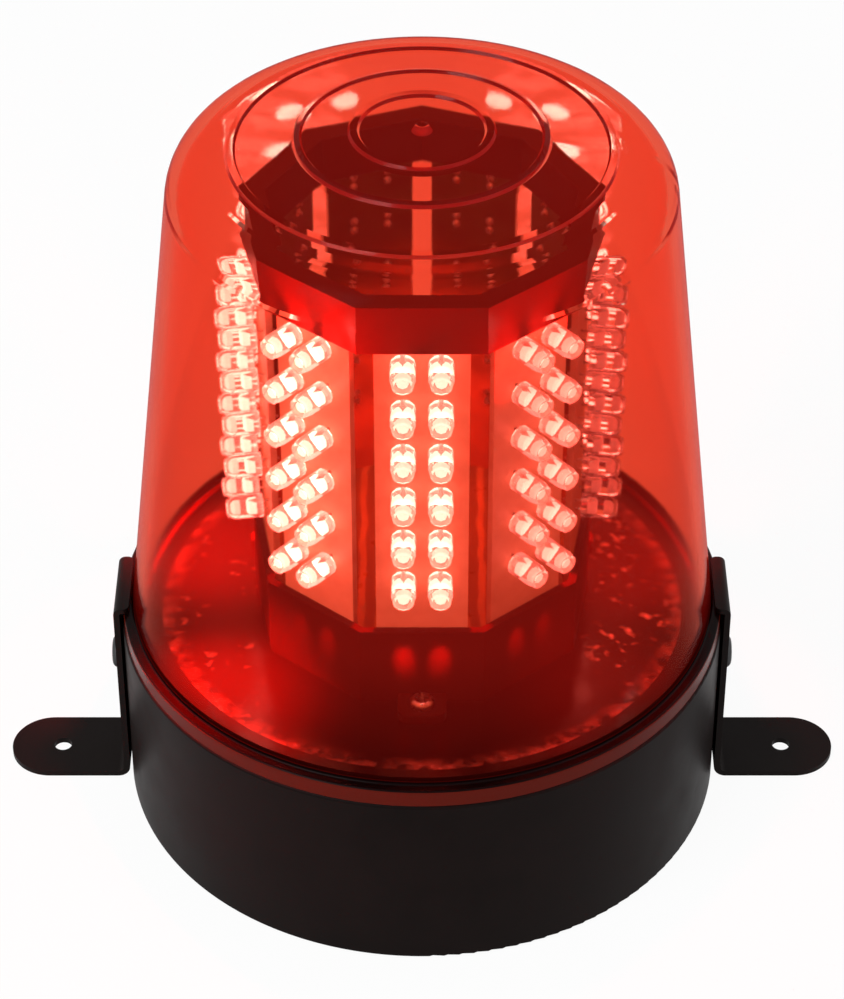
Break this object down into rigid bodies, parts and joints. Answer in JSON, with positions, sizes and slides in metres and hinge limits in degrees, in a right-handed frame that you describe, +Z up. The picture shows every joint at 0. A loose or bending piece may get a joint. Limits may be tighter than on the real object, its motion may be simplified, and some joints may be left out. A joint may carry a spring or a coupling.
{
  "type": "led beacon",
  "caption": "Red LED beacon: tapered translucent lens over a ring of upright LED boards, on a round black base clamped by hooked screw-down side brackets.",
  "frame": {"origin": "centre of the underside of the base, level with the undersides of the bracket feet", "axes": "+X towards the right-hand bracket, +Y to the rear with the power socket, +Z up the axis of the lens"},
  "size_m": [0.2126, 0.15, 0.19],
  "materials": {
    "black_housing": "satin moulded black",
    "black_cover": "matte moulded black",
    "red_lens": "clear red translucent moulding",
    "black_steel": "satin black paint on sheet steel",
    "blackened_screw": "black oxide",
    "zinc_steel": "zinc plated",
    "seal_rubber": "soft black rubber",
    "socket_plastic": "black moulding",
    "red_insulation": "flexible insulation",
    "black_insulation": "flexible insulation",
    "board_laminate": "brown circuit board laminate",
    "terminal_plastic": "green moulding",
    "capacitor_sleeve": "shrink sleeve on an aluminium can",
    "chip_plastic": "moulded epoxy",
    "connector_plastic": "moulded connector body",
    "ribbon_insulation": "grey flat cable",
    "tower_plastic": "matte dark moulding",
    "clear_led": "water-clear epoxy"
  },
  "bodies": {
    "root": {"base_housing": "black_housing", "bottom_cover": "black_cover", "bracket_left": "black_steel", "bracket_nut_left": "zinc_steel", "bracket_nut_right": "zinc_steel", "bracket_right": "black_steel", "bracket_screw_left": "blackened_screw", "bracket_screw_right": "blackened_screw", "collector_board": "board_laminate", "control_board": "board_laminate", "control_board_screws": "zinc_steel", "cover_screws": "zinc_steel", "driver_chips": "chip_plastic", "led_board_1": "board_laminate", "led_board_2": "board_laminate", "led_board_3": "board_laminate", "led_board_4": "board_laminate", "led_board_5": "board_laminate", "led_board_6": "board_laminate", "led_board_7": "board_laminate", "led_board_8": "board_laminate", "led_board_9": "board_laminate", "leds_1": "clear_led", "leds_2": "clear_led", "leds_3": "clear_led", "leds_4": "clear_led", "leds_5": "clear_led", "leds_6": "clear_led", "leds_7": "clear_led", "leds_8": "clear_led", "leds_9": "clear_led", "lens_cover": "red_lens", "lens_gasket": "seal_rubber", "pedestal_screws": "zinc_steel", "power_lead_negative": "black_insulation", "power_lead_positive": "red_insulation", "power_socket": "socket_plastic", "power_terminal": "terminal_plastic", "ribbon_cable": "ribbon_insulation", "ribbon_header_lower": "connector_plastic", "ribbon_header_upper": "connector_plastic", "ribbon_plug_lower": "connector_plastic", "ribbon_plug_upper": "connector_plastic", "smoothing_capacitor": "capacitor_sleeve", "socket_nut": "zinc_steel", "tower_pedestal": "tower_plastic", "tower_top_ring": "tower_plastic", "voltage_regulator": "chip_plastic"}
  },
  "joints": []
}
